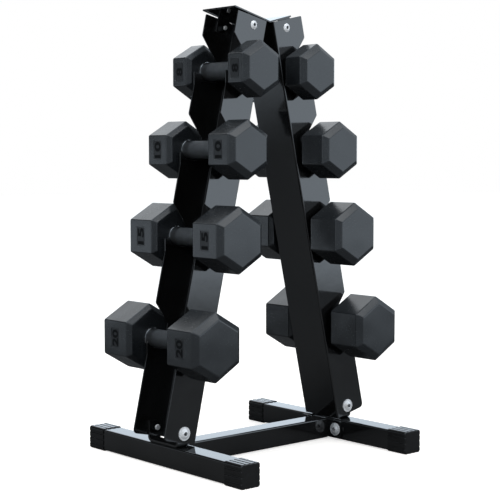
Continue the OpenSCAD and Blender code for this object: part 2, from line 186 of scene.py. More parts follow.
class Shader:
    """The node tree of a material or of the world."""

    def __init__(self, tree: bpy.types.NodeTree) -> None:
        """Takes over a tree and empties it.

        Args:
            tree: The tree to build in.
        """
        self.tree = tree
        tree.nodes.clear()

    def node(
        self,
        kind: str,
        settings: dict[str, object] | None = None,
        inputs: dict[str | int, object] | None = None,
    ) -> bpy.types.Node:
        """Adds a node.

        Args:
            kind: The node's type.
            settings: Its properties, or "stops" for a colour ramp: pairs of position and colour.
            inputs: A value, a Signal or an output socket for each named or numbered input.

        Returns:
            The node.
        """
        made = self.tree.nodes.new(kind)
        for name, value in (settings or {}).items():
            if name == "stops":
                self._set_stops(made.color_ramp, value)
            else:
                setattr(made, name, value)
        for name, value in (inputs or {}).items():
            if isinstance(value, Signal):
                value = value.socket
            if isinstance(value, bpy.types.NodeSocket):
                self.tree.links.new(value, made.inputs[name])
            else:
                made.inputs[name].default_value = value
        return made

    @staticmethod
    def _set_stops(ramp: bpy.types.ColorRamp, stops: Sequence[tuple[float, tuple]]) -> None:
        """Gives a ramp its stops.

        Args:
            ramp: The colour ramp.
            stops: Pairs of position and colour, in order.
        """
        while len(ramp.elements) < len(stops):
            ramp.elements.new(1.0)
        for element, (position, colour) in zip(ramp.elements, stops):
            element.position = position
            element.color = colour

    def place(self) -> bpy.types.NodeSocket:
        """The place on the rack, in metres."""
        return self.node("ShaderNodeTexCoord").outputs["Object"]

    def parts(self, vector: bpy.types.NodeSocket) -> tuple[Signal, Signal, Signal]:
        """The X, Y and Z of a vector."""
        split = self.node("ShaderNodeSeparateXYZ", None, {0: vector})
        return tuple(Signal(self, split.outputs[axis]) for axis in range(3))

    def along(self, vector: bpy.types.NodeSocket, towards: tuple[float, float, float]) -> Signal:
        """How far a vector reaches in a direction.

        Args:
            vector: The vector's socket.
            towards: The direction.

        Returns:
            The dot product.
        """
        node = self.node("ShaderNodeVectorMath", {"operation": "DOT_PRODUCT"}, {0: vector, 1: towards})
        return Signal(self, node.outputs["Value"])

    def noise(
        self,
        scale: float,
        detail: float = 2.0,
        roughness: float = 0.5,
        stretch: tuple[float, float, float] = (1.0, 1.0, 1.0),
    ) -> Signal:
        """Smooth noise over the piece.

        Args:
            scale: How many features there are in a metre.
            detail: Octaves of finer noise.
            roughness: Strength of each finer octave.
            stretch: Extra scale along X, Y and Z.

        Returns:
            The noise, from 0 to 1 with its middle at 0.5.
        """
        moved = self.node("ShaderNodeMapping", None, {"Vector": self.place(), "Scale": stretch})
        made = self.node(
            "ShaderNodeTexNoise",
            None,
            {"Vector": moved.outputs[0], "Scale": scale, "Detail": detail, "Roughness": roughness},
        )
        return Signal(self, made.outputs[0])

    def blend(self, low: tuple, high: tuple, factor: Signal) -> bpy.types.NodeSocket:
        """A colour between two colours.

        Args:
            low: The colour where the factor is 0.
            high: The colour where it is 1.
            factor: Where to take which.

        Returns:
            The colour's socket.
        """
        mix = self.node("ShaderNodeMix", {"data_type": "RGBA"}, {0: factor, 6: low, 7: high})
        return mix.outputs[2]

    def bump(
        self,
        height: Signal,
        distance: float,
        strength: float = 1.0,
        under: bpy.types.NodeSocket | None = None,
    ) -> bpy.types.NodeSocket:
        """A normal from a height.

        Args:
            height: The height, where 1 stands for the distance.
            distance: Real height of a full step, in metres.
            strength: How much of it shows.
            under: A normal that this one lies on.

        Returns:
            The normal's socket.
        """
        inputs: dict[str | int, object] = {"Height": height, "Distance": distance, "Strength": strength}
        if under is not None:
            inputs["Normal"] = under
        return self.node("ShaderNodeBump", None, inputs).outputs["Normal"]

    def principled(self, inputs: dict[str | int, object]) -> None:
        """Ends the tree with a Principled BSDF.

        Args:
            inputs: Values and links for its sockets.
        """
        surface = self.node("ShaderNodeBsdfPrincipled", None, inputs)
        self.node("ShaderNodeOutputMaterial", None, {"Surface": surface.outputs[0]})


def grey(level: float, warmth: float = 0.0) -> tuple[float, float, float, float]:
    """A linear grey, a little warmer or cooler.

    Args:
        level: Its lightness.
        warmth: Share by which red rises and blue falls.

    Returns:
        The colour.
    """
    return (level * (1.0 + warmth), level, level * (1.0 - warmth), 1.0)


# ---------------------------------------------------------------- finishes


@dataclass(frozen=True)
class Grain:
    """Noise that a finish is made with, and the smooth step that sharpens it where it has one."""

    scale: float
    detail: float = 2.0
    roughness: float = 0.5
    stretch: tuple[float, float, float] = (1.0, 1.0, 1.0)
    span: Point2 | None = None

    def on(self, shader: Shader) -> Signal:
        """Adds the noise to a tree, with values from 0 to 1."""
        made = shader.noise(self.scale, self.detail, self.roughness, self.stretch)
        return made if self.span is None else made.fade(*self.span)


@dataclass(frozen=True)
class Finish:
    """What every finish has: a name and a way to make its material."""

    name: str

    def nodes(self, shader: Shader) -> None:
        """Builds the finish in an empty tree; each finish has its own.

        Args:
            shader: The tree to build in.
        """
        raise NotImplementedError

    def material(self) -> bpy.types.Material:
        """Makes the material, once.

        Returns:
            The material.
        """
        made = bpy.data.materials.get(self.name)
        if made is None:
            made = bpy.data.materials.new(self.name)
            made.use_nodes = True
            self.nodes(Shader(made.node_tree))
        return made


@dataclass(frozen=True)
class GlossPaint(Finish):
    """Black stoved enamel: a deep gloss over sheet steel, with a faint ripple, haze and dust."""

    level: float = 0.004
    dusty_level: float = 2.4
    dusty_warmth: float = -0.04
    gloss: float = 0.08
    ior: float = 2.15
    ripple: float = 0.00012
    ripples: Grain = Grain(38.0)
    fleck: float = 0.00001
    fleck_strength: float = 0.6
    flecks: Grain = Grain(420.0)
    haze: Grain = Grain(11.0, 3.0, 0.6, span=(0.35, 0.75))
    haze_share: float = 0.7
    haze_matt: float = 0.05
    dust: Grain = Grain(900.0, 3.0, 0.7, span=(0.6, 0.78))
    dust_share: float = 0.3
    dust_matt: float = 0.04

    def nodes(self, shader: Shader) -> None:
        """Builds the enamel.

        Args:
            shader: The tree to build in.
        """
        dust = self.dust.on(shader)
        haze = self.haze.on(shader)
        dusty = grey(self.level * self.dusty_level, self.dusty_warmth)
        cover = haze * self.haze_share + dust * self.dust_share
        rippled = shader.bump(self.ripples.on(shader), self.ripple)
        shader.principled(
            {
                "Base Color": shader.blend(grey(self.level), dusty, cover),
                "Roughness": haze * self.haze_matt + dust * self.dust_matt + self.gloss,
                "IOR": self.ior,
                "Normal": shader.bump(self.flecks.on(shader), self.fleck, self.fleck_strength, rippled),
            }
        )


@dataclass(frozen=True)
class HeadRubber(Finish):
    """Moulded rubber of the heads: satin, faintly pebbled and uneven, with lighter scuffs."""

    level: float = 0.019
    dark_share: float = 0.82
    light_share: float = 1.5
    warmth: float = -0.12
    matt: float = 0.25
    uneven_matt: float = 0.1
    ior: float = 1.74
    pebble: float = 0.00005
    pebble_strength: float = 0.7
    pebbles: Grain = Grain(1500.0, 2.0, 0.6)
    swell: float = 0.002
    swells: Grain = Grain(14.0, 1.0)
    cloud: Grain = Grain(26.0, 3.0, 0.6)
    cloud_share: float = 0.7
    scuff: Grain = Grain(160.0, 4.0, 0.7, (1.0, 1.0, 5.0), span=(0.6, 0.82))
    scuff_share: float = 0.35

    def nodes(self, shader: Shader) -> None:
        """Builds the rubber.

        Args:
            shader: The tree to build in.
        """
        swollen = shader.bump(self.swells.on(shader), self.swell)
        cloud = self.cloud.on(shader)
        scuff = self.scuff.on(shader)
        dark = grey(self.level * self.dark_share, self.warmth)
        light = grey(self.level * self.light_share, self.warmth)
        uneven = cloud * self.uneven_matt + scuff * self.uneven_matt
        shader.principled(
            {
                "Base Color": shader.blend(dark, light, cloud * self.cloud_share + scuff * self.scuff_share),
                "Roughness": uneven + (self.matt - self.uneven_matt / 2.0),
                "IOR": self.ior,
                "Normal": shader.bump(self.pebbles.on(shader), self.pebble, self.pebble_strength, swollen),
            }
        )


@dataclass(frozen=True)
class SmoothRubber(Finish):
    """Fine rubber of the label plates, and duller for the numbers on them."""

    level: float = 0.014
    dark_share: float = 0.85
    light_share: float = 1.2
    warmth: float = -0.1
    matt: float = 0.3
    uneven_matt: float = 0.1
    ior: float = 1.52
    pore: float = 0.00002
    pore_strength: float = 0.5
    pores: Grain = Grain(2400.0)
    cloud: Grain = Grain(60.0, 3.0, 0.6)

    def nodes(self, shader: Shader) -> None:
        """Builds the smooth rubber.

        Args:
            shader: The tree to build in.
        """
        cloud = self.cloud.on(shader)
        dark = grey(self.level * self.dark_share, self.warmth)
        light = grey(self.level * self.light_share, self.warmth)
        shader.principled(
            {
                "Base Color": shader.blend(dark, light, cloud),
                "Roughness": cloud * self.uneven_matt + self.matt,
                "IOR": self.ior,
                "Normal": shader.bump(self.pores.on(shader), self.pore, self.pore_strength),
            }
        )


@dataclass(frozen=True)
class CapRubber(Finish):
    """Smooth rubber of the end caps, with a little wear."""

    level: float = 0.006
    worn_level: float = 2.2
    worn_warmth: float = -0.03
    matt: float = 0.18
    worn_matt: float = 0.12
    ior: float = 1.75
    pebble: float = 0.00005
    pebble_strength: float = 0.6
    pebbles: Grain = Grain(1100.0, 3.0, 0.6)
    wear: Grain = Grain(70.0, 4.0, 0.7, span=(0.5, 0.8))

    def nodes(self, shader: Shader) -> None:
        """Builds the cap rubber.

        Args:
            shader: The tree to build in.
        """
        wear = self.wear.on(shader)
        worn = grey(self.level * self.worn_level, self.worn_warmth)
        shader.principled(
            {
                "Base Color": shader.blend(grey(self.level), worn, wear),
                "Roughness": wear * self.worn_matt + self.matt,
                "IOR": self.ior,
                "Normal": shader.bump(self.pebbles.on(shader), self.pebble, self.pebble_strength),
            }
        )


@dataclass(frozen=True)
class ZincPlate(Finish):
    """Plated or bare bright metal of the bolts, washers, nuts and collars, with a few stains; the nuts' copy
    is darkened as painted shade.
    """

    level: float = 0.95
    warmth: float = -0.015
    stained_share: float = 0.72
    stained_warmth: float = 0.03
    gloss: float = 0.2
    cloud_matt: float = 0.12
    stain_matt: float = 0.1
    metal: float = 0.3
    pit: float = 0.00003
    pit_strength: float = 0.5
    cloud: Grain = Grain(240.0, 3.0, 0.6)
    stain: Grain = Grain(90.0, span=(0.55, 0.8))

    def nodes(self, shader: Shader) -> None:
        """Builds the plating.

        Args:
            shader: The tree to build in.
        """
        cloud = self.cloud.on(shader)
        stain = self.stain.on(shader)
        stained = grey(self.level * self.stained_share, self.stained_warmth)
        shader.principled(
            {
                "Base Color": shader.blend(grey(self.level, self.warmth), stained, stain),
                "Metallic": self.metal,
                "Roughness": cloud * self.cloud_matt + stain * self.stain_matt + self.gloss,
                "Normal": shader.bump(cloud, self.pit, self.pit_strength),
            }
        )


@dataclass(frozen=True)
class HandleSteel(Finish):
    """Dark steel of the handles, with a diamond knurl over the middle of the grip."""

    level: float = 0.17
    dark_share: float = 0.8
    light_share: float = 1.3
    warmth: float = -0.05
    metal: float = 0.9
    gloss: float = 0.26
    cloud_matt: float = 0.12
    knurl_matt: float = 0.12
    knurl_half: float = 0.034
    knurl_end: float = 0.001
    threads_round: float = 60.0
    threads_along: float = 600.0
    depth: float = 0.00035
    depth_strength: float = 0.7
    cloud: Grain = Grain(120.0, 3.0, 0.6)

    def nodes(self, shader: Shader) -> None:
        """Builds the steel. The piece's UV map runs once round the handle and in metres along it.

        Args:
            shader: The tree to build in.
        """
        around, along, _ = shader.parts(shader.node("ShaderNodeUVMap").outputs["UV"])
        turn = around * (self.threads_round * math.tau)
        run = along * (self.threads_along * math.tau)
        diamond = abs((turn + run).wave()).at_most(abs((turn - run).wave()))
        middle = 1.0 - abs(along).fade(self.knurl_half - self.knurl_end, self.knurl_half)
        cloud = self.cloud.on(shader)
        dark = grey(self.level * self.dark_share, self.warmth)
        light = grey(self.level * self.light_share, self.warmth)
        shader.principled(
            {
                "Base Color": shader.blend(dark, light, cloud),
                "Metallic": self.metal,
                "Roughness": cloud * self.cloud_matt + middle * self.knurl_matt + self.gloss,
                "Normal": shader.bump(diamond * middle, self.depth, self.depth_strength),
            }
        )


@dataclass(frozen=True)
class CastIron(Finish):
    """Raw cast iron of the cores inside the heads."""

    level: float = 0.1
    warmth: float = 0.05
    light_share: float = 2.0
    metal: float = 0.8
    matt: float = 0.5
    uneven_matt: float = 0.2
    pit: float = 0.0003
    pit_strength: float = 0.8
    pits: Grain = Grain(500.0, 4.0, 0.7)

    def nodes(self, shader: Shader) -> None:
        """Builds the iron.

        Args:
            shader: The tree to build in.
        """
        pits = self.pits.on(shader)
        dark = grey(self.level, self.warmth)
        light = grey(self.level * self.light_share, self.warmth * self.light_share)
        shader.principled(
            {
                "Base Color": shader.blend(dark, light, pits),
                "Metallic": self.metal,
                "Roughness": pits * self.uneven_matt + self.matt,
                "Normal": shader.bump(pits, self.pit, self.pit_strength),
            }
        )


PAINT = GlossPaint("black_enamel")
TUBE_PAINT = GlossPaint("tube_enamel", gloss=0.05, ripple=0.00004)
HEAD = HeadRubber("moulded_rubber")
LABEL = SmoothRubber("label_rubber")
NUMBER = SmoothRubber("number_rubber", level=0.004, matt=0.5, ior=1.25)
CAP = CapRubber("ribbed_rubber")
ZINC = ZincPlate("zinc_plate")
# The nuts' copy of the zinc: a real glossy metal, but its low level is painted shade that darkens the nuts
# sitting inside the shaded channels and tube.
SHADED_NUT_ZINC = ZincPlate("nut_zinc_painted_shade", level=0.08, gloss=0.1, metal=1.0)
COLLAR = ZincPlate("bright_steel", level=0.55, gloss=0.14, metal=1.0)
STEEL = HandleSteel("knurled_steel")
IRON = CastIron("raw_iron")


# ---------------------------------------------------------------- mesh tools


SHARP_ANGLE = math.radians(30.0)
"""Where faces meet at more than this, a piece without rounded edges stays sharp."""

NORMAL_WEIGHT = 80
"""How strongly the normals follow the large faces."""

SIXTH_TURN = math.tau / 6.0
"""The angle between two corners of a hexagon."""


@dataclass(frozen=True)
class Bevel:
    """Rounded edges of a piece."""

    width: float
    segments: int = 3
    angle: float = 35.0
    by_weight: bool = False


def corner_arc(before: Point2, corner: Point2, after: Point2, radius: float, steps: int) -> list[Point2]:
    """The arc that rounds one corner of an outline.

    Args:
        before: The corner before it.
        corner: The corner to round.
        after: The corner after it.
        radius: Radius of the arc; 0 keeps the corner.
        steps: Straight pieces in the arc.

    Returns:
        The points of the arc, in the outline's order.
    """
    if radius == 0.0:
        return [corner]
    point = Vector(corner)
    back = (Vector(before) - point).normalized()
    ahead = (Vector(after) - point).normalized()
    half = back.angle(ahead) / 2.0
    middle = point + (back + ahead).normalized() * radius / math.sin(half)
    start = point + back * radius / math.tan(half) - middle
    stop = point + ahead * radius / math.tan(half) - middle
    turn = math.atan2(start.x * stop.y - start.y * stop.x, start.dot(stop))
    first = math.atan2(start.y, start.x)
    return [
        (
            middle.x + radius * math.cos(first + turn * step / steps),
            middle.y + radius * math.sin(first + turn * step / steps),
        )
        for step in range(steps + 1)
    ]


def rounded_outline(corners: Sequence[tuple[float, float, float]], steps: int) -> list[Point2]:
    """A closed outline with rounded corners.

    Args:
        corners: Each corner's two coordinates and its radius.
        steps: Straight pieces in each rounded corner.

    Returns:
        The outline's points.
    """
    count = len(corners)
    points: list[Point2] = []
    for index, (across, up, radius) in enumerate(corners):
        before = corners[index - 1]
        after = corners[(index + 1) % count]
        points += corner_arc((before[0], before[1]), (across, up), (after[0], after[1]), radius, steps)
    return points


def add_ring(bm: bmesh.types.BMesh, points: Sequence[Vector]) -> list[bmesh.types.BMVert]:
    """Adds the vertices of a ring, in the order of its points."""
    return [bm.verts.new(point) for point in points]


def bridge(
    bm: bmesh.types.BMesh, first: Sequence[bmesh.types.BMVert], second: Sequence[bmesh.types.BMVert]
) -> list[bmesh.types.BMFace]:
    """Joins two closed rings of equal length with quads.

    Args:
        bm: The mesh.
        first: One ring.
        second: The next ring.

    Returns:
        The new faces.
    """
    ahead = [(i, (i + 1) % len(first)) for i in range(len(first))]
    return [bm.faces.new((first[i], first[j], second[j], second[i])) for i, j in ahead]


def add_prism(
    bm: bmesh.types.BMesh, outline: Sequence[Point2], low: float, high: float, place: Placer
) -> None:
    """Adds a solid with a constant outline.

    Args:
        bm: The mesh.
        outline: The outline's points.
        low: Where it starts along the third direction.
        high: Where it ends.
        place: Carries outline coordinates and height to the rack.
    """
    bottom = add_ring(bm, [place(a, b, low) for a, b in outline])
    top = add_ring(bm, [place(a, b, high) for a, b in outline])
    bm.faces.new(bottom[::-1])
    bm.faces.new(top)
    bridge(bm, bottom, top)


def add_lathe(
    bm: bmesh.types.BMesh,
    profile: Sequence[tuple[Callable[[float], float], float]],
    steps: int,
    place: Placer,
    closed: bool = False,
) -> None:
    """Adds a turned solid.

    Args:
        bm: The mesh.
        profile: Pairs of a radius, as a function of the angle, and a height.
        steps: Points round the solid.
        place: Carries X, Y and height to the rack.
        closed: True joins the last ring to the first, for a piece with a hole. False caps both ends.
    """
    uv = bm.loops.layers.uv.verify()
    angles = [math.tau * step / steps for step in range(steps)]
    rings = [
        add_ring(bm, [place(radius(a) * math.cos(a), radius(a) * math.sin(a), height) for a in angles])
        for radius, height in profile
    ]
    pairs = list(zip(range(len(rings)), range(1, len(rings))))
    if closed:
        pairs.append((len(rings) - 1, 0))
    for low, high in pairs:
        for step, face in enumerate(bridge(bm, rings[low], rings[high])):
            corners = ((step, low), (step + 1, low), (step + 1, high), (step, high))
            for loop, (turn, ring) in zip(face.loops, corners):
                loop[uv].uv = (turn / steps, profile[ring][1])
    if not closed:
        bm.faces.new(rings[0][::-1])
        bm.faces.new(rings[-1])


def even(radius: float) -> Callable[[float], float]:
    """A radius that is the same all round."""
    return lambda angle: radius


def hexagonal(across: float, round_off: float) -> Callable[[float], float]:
    """The radius of a hexagon whose corners stop at a circle.

    Args:
        across: Width across flats.
        round_off: Radius of the circle that trims the corners.

    Returns:
        The radius as a function of the angle.
    """

    def radius(angle: float) -> float:
        """The hexagon's radius at an angle."""
        from_flat = (angle + SIXTH_TURN / 2.0) % SIXTH_TURN - SIXTH_TURN / 2.0
        return min(across / 2.0 / math.cos(from_flat), round_off)

    return radius


def add_piece(
    name: str,
    bm: bmesh.types.BMesh,
    finish: Finish,
    body: str,
    nodes: Sequence[str] = (),
    bevel: Bevel | None = None,
    sheet: float = 0.0,
) -> bpy.types.Object:
    """Turns a mesh into a piece of the rack.

    Args:
        name: The piece's name.
        bm: Its mesh, in the rack's frame; it is freed.
        finish: Its finish.
        body: The body that it rides on.
        nodes: The nodes that it stands for.
        bevel: How its edges are rounded.
        sheet: Thickness that a single surface gets, inwards.

    Returns:
        The object.
    """
    bmesh.ops.recalc_face_normals(bm, faces=bm.faces)
    mesh = bpy.data.meshes.new(name)
    bm.to_mesh(mesh)
    bm.free()
    made = bpy.data.objects.new(name, mesh)
    bpy.context.scene.collection.objects.link(made)
    mesh.materials.append(finish.material())
    mesh.shade_smooth()
    if sheet:
        thick = made.modifiers.new("sheet", "SOLIDIFY")
        thick.thickness = sheet
        thick.offset = -1.0
        thick.use_even_offset = True
    if bevel is not None:
        rounding = made.modifiers.new("edges", "BEVEL")
        rounding.width = bevel.width
        rounding.segments = bevel.segments
        rounding.limit_method = "WEIGHT" if bevel.by_weight else "ANGLE"
        rounding.angle_limit = math.radians(bevel.angle)
        rounding.use_clamp_overlap = True
        rounding.miter_outer = "MITER_ARC"
    else:
        mesh.set_sharp_from_angle(angle=SHARP_ANGLE)
    flatten = made.modifiers.new("flat_faces", "WEIGHTED_NORMAL")
    flatten.weight = NORMAL_WEIGHT
    flatten.keep_sharp = True
    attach(made, body)
    if nodes:
        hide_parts(*nodes)
    LOG.info("built %s with %d faces", name, len(mesh.polygons))
    return made


# ---------------------------------------------------------------- the rack's geometry


@dataclass
class RackPlan:
    """Places that the pieces share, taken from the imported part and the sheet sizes."""

    upright_length: float = 0.7515
    sheet: float = 0.0025
    web_overhang: float = 0.0025
    tube: float = field(init=False)
    foot_x: float = field(init=False)
    foot_top: float = field(init=False)
    foot_mid: float = field(init=False)
    foot_half: float = field(init=False)
    foot_side: float = field(init=False)
    web_foot_x: float = field(init=False)
    upright_foot_z: float = field(init=False)
    upright_half: float = field(init=False)
    lean: float = field(init=False)

    def __post_init__(self) -> None:
        """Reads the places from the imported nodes."""
        foot_low, foot_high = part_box("right_foot")
        upright_low, upright_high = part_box("right_upright")
        self.tube = foot_high[0] - foot_low[0]
        self.foot_x = (foot_low[0] + foot_high[0]) / 2.0
        self.foot_top = foot_high[2]
        self.foot_mid = (foot_low[2] + foot_high[2]) / 2.0
        self.foot_half = foot_high[1]
        self.foot_side = foot_low[0]
        self.web_foot_x = self.foot_side - self.web_overhang
        self.upright_foot_z = upright_low[2]
        self.upright_half = upright_high[1]
        self.lean = math.asin((self.web_foot_x - upright_low[0]) / self.upright_length)

    def on_upright(self, side: Side) -> Placer:
        """A placer for the frame of an upright.

        Args:
            side: The upright's side.

        Returns:
            Carries (out from the web, up the slope, along Y) to the rack.
        """

        def place(out: float, up: float, along: float) -> Vector:
            """Carries a point of the upright to the rack.

            Args:
                out: Its distance out from the web.
                up: Its distance up the slope.
                along: Its place along Y.

            Returns:
                The point.
            """
            x = self.web_foot_x + out * math.cos(self.lean) - up * math.sin(self.lean)
            z = self.upright_foot_z + out * math.sin(self.lean) + up * math.cos(self.lean)
            return Vector((side.value * x, along, z))

        return place

    def in_upright(self, x: float, z: float) -> Point2:
        """The place of a point in the frame of its upright.

        Args:
            x: Its distance from the middle of the rack.
            z: Its height.

        Returns:
            The distance out from the web and the distance up the slope.
        """
        across = x - self.web_foot_x
        rise = z - self.upright_foot_z
        out = across * math.cos(self.lean) + rise * math.sin(self.lean)
        up = rise * math.cos(self.lean) - across * math.sin(self.lean)
        return out, up


def middle_of(node: str) -> Vector:
    """The middle of a node's box."""
    low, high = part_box(node)
    return (Vector(low) + Vector(high)) / 2.0


# ---------------------------------------------------------------- uprights


MOUTHS = {
    Tier.TOP: (0.0205, 0.068),
    Tier.UPPER: (0.0325, 0.070),
    Tier.LOWER: (0.025, 0.0645),
    Tier.BOTTOM: (0.036, 0.070),
}
"""Each row's mouth: its distance from the web, and its height from lip to crest."""


@dataclass
class Upright:
    """A channel of folded sheet with four cradles cut in both flanges."""

    plan: RackPlan
    side: Side
    depth: float = 0.0695
    fold_radius: float = 0.0032
    toe_radius: float = 0.008
    crest_radius: float = 0.005
    mouth_angle: float = math.radians(47.0)
    lip_drop: float = 0.009
    lip_top: float = 0.0015
    lip_flare: float = 0.005
    lip_flare_length: float = 0.022
    lip_tip_radius: float = 0.001
    handle_radius: float = 0.016
    seat_clearance: float = 0.0003
    seat_play: float = 0.0055
    seat_corner: float = 0.005
    seat_steps: int = 10
    top_radius: float = 0.002
    edge: float = 0.0007
    corner_steps: int = 6
    fold_steps: int = 6

    def cradle(self, tier: Tier) -> list[tuple[float, float, float]]:
        """One cradle in the outline of a flange, from its lip up to the crest above.

        Args:
            tier: The cradle's row.

        Returns:
            Corners with their radii.
        """
        centre = middle_of(f"{self.side.word}_{tier.word}_handle")
        _, up = self.plan.in_upright(abs(centre.x), centre.z)
        radius = self.handle_radius + self.seat_clearance
        inner, mouth = MOUTHS[tier]
        out = inner + radius + self.seat_play
        tip = up - self.lip_drop
        crest = tip + mouth
        sweep = math.pi / 2.0 - self.mouth_angle
        angles = [self.mouth_angle + sweep * step / self.seat_steps for step in range(self.seat_steps + 1)]
        seat = [(out + radius * math.cos(a), up - radius * math.sin(a), 0.0) for a in angles]
        ramp_top = seat[0][0] + (tip - seat[0][1]) * math.tan(self.mouth_angle)
        slope_foot = crest - (self.depth - inner) / math.tan(self.mouth_angle)
        return [
            (self.depth, tip - self.lip_flare_length, self.crest_radius),
            (max(self.depth + self.lip_flare, ramp_top + self.lip_top), tip, self.lip_tip_radius),
            (ramp_top, tip, 0.0),
            *seat,
            (inner, up - radius, self.seat_corner),
            (inner, slope_foot, self.crest_radius),
            (self.depth, crest, self.crest_radius),
        ]

    def outline(self) -> list[Point2]:
        """The outline of a flange, without its fold."""
        length = self.plan.upright_length
        corners = [(self.fold_radius, 0.0, 0.0), (self.depth, 0.0, self.toe_radius)]
        for tier in reversed(Tier):
            corners += self.cradle(tier)
        corners += [(self.depth, length, self.top_radius), (self.fold_radius, length, 0.0)]
        return rounded_outline(corners, self.corner_steps)

    def build(self) -> None:
        """Builds the channel as one skin, and lets it grow to its sheet thickness."""
        bm = bmesh.new()
        place = self.plan.on_upright(self.side)
        half = self.plan.upright_half
        radius = self.fold_radius
        length = self.plan.upright_length
        outline = self.outline()
        flange_ends: dict[End, tuple[bmesh.types.BMVert, bmesh.types.BMVert]] = {}
        for end in End:
            ring = add_ring(bm, [place(out, up, end.value * half) for out, up in outline])
            bm.faces.new(ring)
            flange_ends[end] = (ring[0], ring[-1])
        forwards = range(1, self.fold_steps + 1)
        columns = [flange_ends[End.FRONT]]
        for end in End:
            steps = forwards if end is End.FRONT else reversed(forwards)
            for step in steps:
                angle = math.pi / 2.0 * step / self.fold_steps
                out = radius * (1.0 - math.sin(angle))
                along = end.value * (half - radius * (1.0 - math.cos(angle)))
                low = bm.verts.new(place(out, 0.0, along))
                high = bm.verts.new(place(out, length, along))
                columns.append((low, high))
        columns.append(flange_ends[End.REAR])
        for (low_a, high_a), (low_b, high_b) in zip(columns, columns[1:]):
            bm.faces.new((low_a, low_b, high_b, high_a))
        word = self.side.word
        add_piece(
            f"{word}_upright_channel",
            bm,
            PAINT,
            RACK_BODY,
            [f"{word}_upright"],
            Bevel(self.edge, segments=2, angle=40.0),
            self.plan.sheet,
        )


# ---------------------------------------------------------------- top plate


@dataclass
class TopPlate:
    """The bent plate over both uprights, with a tab inside each flange."""

    plan: RackPlan
    rise: float = math.radians(2.0)
    thickness: float = 0.003
    left_wing: float = 0.085
    right_wing: float = 0.052
    tab_start: float = 0.0155
    tab_length: float = 0.028
    tab_height: float = 0.028
    ear_clearance: float = 0.0002
    bend_clearance: float = 0.0003
    corner: float = 0.004
    corner_steps: int = 5
    edge: float = 0.0006

    def build(self) -> None:
        """Builds the plate and its tabs as one piece."""
        plan = self.plan
        top_gap = plan.web_foot_x - plan.upright_length * math.sin(plan.lean)
        tilt = plan.lean + self.rise
        top_z = plan.upright_foot_z + plan.upright_length * math.cos(plan.lean)
        bend_z = top_z - top_gap * math.tan(tilt) + self.bend_clearance
        half = plan.upright_half
        fill = self.thickness * math.tan(tilt)
        bm = bmesh.new()

        def wing_point(side: Side, out: float, up: float, along: float) -> Vector:
            """Carries a point to the rack: out along the wing, up from its lower face and along Y."""
            x = out * math.cos(tilt) - up * math.sin(tilt)
            return Vector((side.value * x, along, bend_z + out * math.sin(tilt) + up * math.cos(tilt)))

        section = [
            wing_point(Side.LEFT, self.left_wing, 0.0, 0.0),
            Vector((0.0, 0.0, bend_z)),
            wing_point(Side.RIGHT, self.right_wing, 0.0, 0.0),
            wing_point(Side.RIGHT, self.right_wing, self.thickness, 0.0),
            wing_point(Side.RIGHT, fill, self.thickness, 0.0),
            wing_point(Side.LEFT, self.left_wing, self.thickness, 0.0),
        ]
        outline = [(point.x, point.z) for point in section]
        add_prism(bm, outline, -half, half, lambda a, b, c: Vector((a, c, b)))
        for side in Side:
            start = top_gap / math.cos(tilt) + self.tab_start
            stop = start + self.tab_length
            tab = rounded_outline(
                [
                    (start, self.thickness / 2.0, 0.0),
                    (start, -self.tab_height, self.corner),
                    (stop, -self.tab_height, self.corner),
                    (stop, self.thickness / 2.0, 0.0),
                ],
                self.corner_steps,
            )
            outer = half - plan.sheet - self.ear_clearance
            for end in End:
                add_prism(
                    bm,
                    tab,
                    end.value * (outer - self.thickness),
                    end.value * outer,
                    lambda a, b, c, side=side: wing_point(side, a, b, c),
                )
        edges = Bevel(self.edge, segments=2, angle=25.0)
        add_piece("top_plate_bent", bm, PAINT, RACK_BODY, ["top_plate"], edges)


# ---------------------------------------------------------------- base


